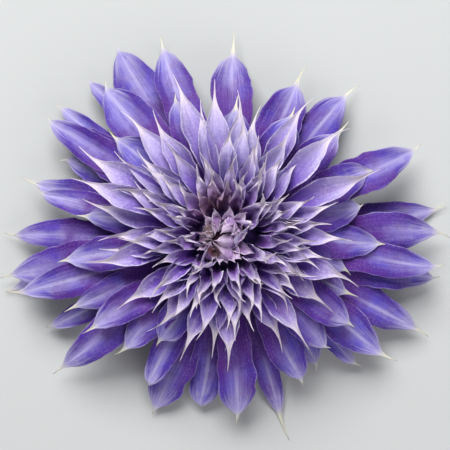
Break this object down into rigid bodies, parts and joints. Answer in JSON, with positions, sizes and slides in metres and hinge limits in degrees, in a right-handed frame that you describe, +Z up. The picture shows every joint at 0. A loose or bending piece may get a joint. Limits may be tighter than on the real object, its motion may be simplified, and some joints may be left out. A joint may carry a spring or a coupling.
{
  "type": "double clematis flower",
  "caption": "Picked double clematis bloom lying face up: layered violet sepals under a dome of pale lilac awn-tipped petals round a tight mauve bud, on a short bent stem.",
  "frame": {"origin": "On the surface the flower lies on, under the middle of its outline", "axes": "+Z up along the flower's axis, out of its face; +X and +Y as right and up in the picture, which looks down on the face"},
  "size_m": [0.1215, 0.1113, 0.0376],
  "materials": {
    "violet_sepal": "matte, finely veined, with a paler bar down the middle and a cream awn",
    "lilac_petal": "matte, pale lilac with lighter margins and a violet base",
    "mauve_bud": "matte, greyish mauve with brownish hollows",
    "green_stem": "matte, ribbed and finely downy, flushed maroon"
  },
  "bodies": {
    "root": {"outer_sepals": "violet_sepal", "inner_petals": "lilac_petal", "heart": "mauve_bud", "stem": "green_stem"}
  },
  "joints": []
}
